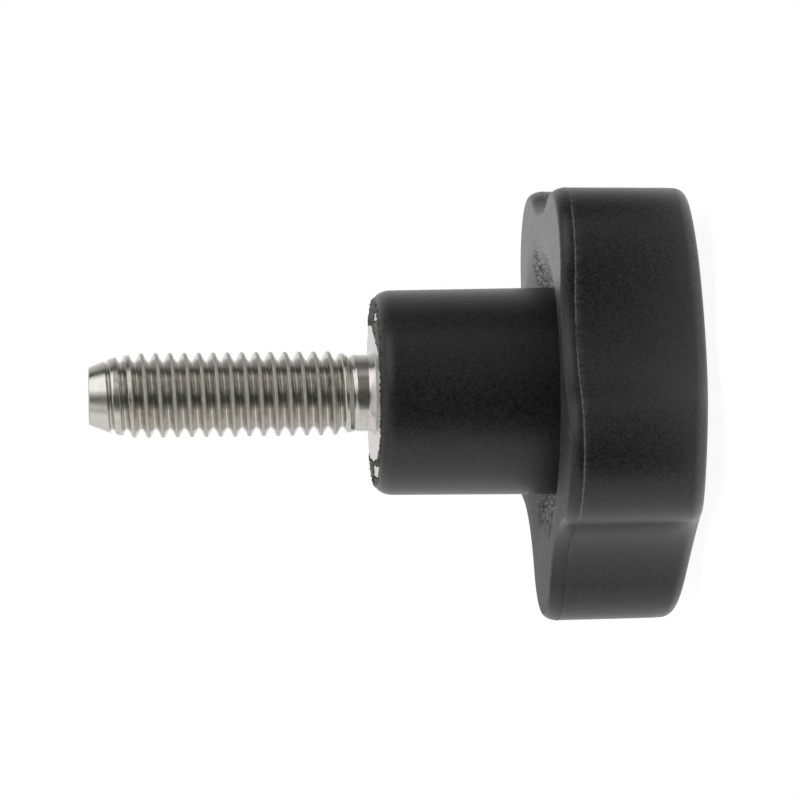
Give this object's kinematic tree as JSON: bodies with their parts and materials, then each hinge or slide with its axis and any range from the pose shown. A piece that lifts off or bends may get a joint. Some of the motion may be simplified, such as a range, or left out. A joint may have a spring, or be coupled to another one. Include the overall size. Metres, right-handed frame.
{
  "type": "lobed clamping knob",
  "caption": "Black moulded star knob with a round hub and a steel threaded stud that is moulded into it; turned by hand to clamp something.",
  "frame": {"origin": "middle of the flange's clamping face, on the stud's axis", "axes": "+Z along the stud towards its tip; +X through the middle of one lobe; the knob stands on its domed front"},
  "size_m": [0.0304, 0.0314, 0.0425],
  "materials": {
    "moulded_plastic": "fine moulded grain with a faint mottle, as glass-filled plastic has",
    "bright_steel": "turned and rolled, bright"
  },
  "bodies": {
    "root": {"grip": "moulded_plastic", "threaded_stud": "bright_steel"}
  },
  "joints": []
}
